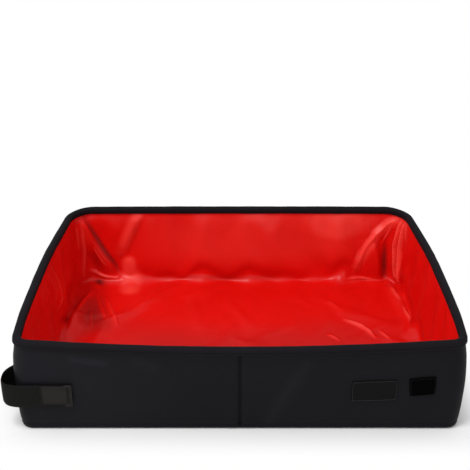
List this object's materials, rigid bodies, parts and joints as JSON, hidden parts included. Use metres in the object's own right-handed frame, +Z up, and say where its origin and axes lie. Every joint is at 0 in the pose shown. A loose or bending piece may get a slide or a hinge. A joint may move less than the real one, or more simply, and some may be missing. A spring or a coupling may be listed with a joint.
{
  "type": "foldable litter box",
  "caption": "Open cloth tray with boards in its walls and floor, a loose waterproof lining, a bound rim and a webbing handle; the walls lie down inside and the floor shuts like a book.",
  "frame": {"origin": "middle of the underside, on the floor", "axes": "+X to the right along the front, +Y to the back, +Z up; the handle is at -X"},
  "size_m": [0.4177, 0.2941, 0.1],
  "materials": {
    "outer_cloth": "coated black oxford cloth with a soft sheen",
    "lining_cloth": "glossy bright red waterproof cloth",
    "binding_tape": "matt black woven bias tape",
    "webbing": "matt black woven webbing",
    "hook_pile": "black hook-and-loop pile",
    "label_cloth": "smooth black woven label",
    "stiff_board": "matt grey stiffening board"
  },
  "bodies": {
    "left_base": {"side_band_left": "outer_cloth", "bottom_cover_left": "outer_cloth", "floor_board_left": "stiff_board", "floor_lining_left": "lining_cloth"},
    "right_base": {"side_band_right": "outer_cloth", "bottom_cover_right": "outer_cloth", "floor_board_right": "stiff_board", "floor_lining_right": "lining_cloth"},
    "spine": {"spine_cover": "outer_cloth", "spine_lining": "lining_cloth"},
    "end_left": {"end_left_cover": "outer_cloth", "end_left_board": "stiff_board", "end_left_lining": "lining_cloth", "end_left_binding": "binding_tape", "corner_front_left_gusset": "outer_cloth", "corner_front_left_binding": "binding_tape", "corner_back_left_gusset": "outer_cloth", "corner_back_left_binding": "binding_tape"},
    "front_left": {"front_left_cover": "outer_cloth", "front_left_board": "stiff_board", "front_left_lining": "lining_cloth", "front_left_binding": "binding_tape", "front_left_crease_gusset": "outer_cloth", "front_left_crease_binding": "binding_tape", "webbing_handle": "webbing"},
    "back_left": {"back_left_cover": "outer_cloth", "back_left_board": "stiff_board", "back_left_lining": "lining_cloth", "back_left_binding": "binding_tape", "back_left_crease_gusset": "outer_cloth", "back_left_crease_binding": "binding_tape"},
    "end_right": {"end_right_cover": "outer_cloth", "end_right_board": "stiff_board", "end_right_lining": "lining_cloth", "end_right_binding": "binding_tape", "corner_front_right_gusset": "outer_cloth", "corner_front_right_binding": "binding_tape", "corner_back_right_gusset": "outer_cloth", "corner_back_right_binding": "binding_tape"},
    "front_right": {"front_right_cover": "outer_cloth", "front_right_board": "stiff_board", "front_right_lining": "lining_cloth", "front_right_binding": "binding_tape", "front_right_crease_gusset": "outer_cloth", "front_right_crease_binding": "binding_tape", "hook_loop_pad": "hook_pile", "bare_label": "label_cloth"},
    "back_right": {"back_right_cover": "outer_cloth", "back_right_board": "stiff_board", "back_right_lining": "lining_cloth", "back_right_binding": "binding_tape", "back_right_crease_gusset": "outer_cloth", "back_right_crease_binding": "binding_tape"}
  },
  "joints": [
    {"name": "spine_fold", "type": "hinge", "parent": "left_base", "child": "spine", "pos_m": [-0.0156, 0, 0.0019], "axis": [0, -1, 0], "range_deg": [0, 90]},
    {"name": "right_half_fold", "type": "hinge", "parent": "spine", "child": "right_base", "pos_m": [0.0156, 0, 0.0019], "axis": [0, -1, 0], "range_deg": [0, 90]},
    {"name": "end_left_fold", "type": "hinge", "parent": "left_base", "child": "end_left", "pos_m": [-0.2, 0, 0.0094], "axis": [0, 1, 0], "range_deg": [0, 90], "deforming": ["corner_front_left_gusset", "corner_front_left_binding", "corner_back_left_gusset", "corner_back_left_binding"]},
    {"name": "end_right_fold", "type": "hinge", "parent": "right_base", "child": "end_right", "pos_m": [0.2, 0, 0.0094], "axis": [0, -1, 0], "range_deg": [0, 90], "deforming": ["corner_front_right_gusset", "corner_front_right_binding", "corner_back_right_gusset", "corner_back_right_binding"]},
    {"name": "front_left_fold", "type": "hinge", "parent": "left_base", "child": "front_left", "pos_m": [-0.1, -0.145, 0.0157], "axis": [-1, 0, 0], "range_deg": [0, 90], "deforming": ["front_left_crease_gusset", "front_left_crease_binding"]},
    {"name": "front_right_fold", "type": "hinge", "parent": "right_base", "child": "front_right", "pos_m": [0.1, -0.145, 0.0157], "axis": [-1, 0, 0], "range_deg": [0, 90], "deforming": ["front_right_crease_gusset", "front_right_crease_binding"]},
    {"name": "back_left_fold", "type": "hinge", "parent": "left_base", "child": "back_left", "pos_m": [-0.1, 0.145, 0.0157], "axis": [1, 0, 0], "range_deg": [0, 90], "deforming": ["back_left_crease_gusset", "back_left_crease_binding"]},
    {"name": "back_right_fold", "type": "hinge", "parent": "right_base", "child": "back_right", "pos_m": [0.1, 0.145, 0.0157], "axis": [1, 0, 0], "range_deg": [0, 90], "deforming": ["back_right_crease_gusset", "back_right_crease_binding"]}
  ],
  "couplings": [
    {"joint": "right_half_fold", "follows": "spine_fold", "ratio": 1},
    {"joint": "end_left_fold", "follows": "spine_fold", "ratio": 1},
    {"joint": "end_right_fold", "follows": "spine_fold", "ratio": 1},
    {"joint": "front_left_fold", "follows": "spine_fold", "ratio": 1},
    {"joint": "front_right_fold", "follows": "spine_fold", "ratio": 1},
    {"joint": "back_left_fold", "follows": "spine_fold", "ratio": 1},
    {"joint": "back_right_fold", "follows": "spine_fold", "ratio": 1}
  ]
}
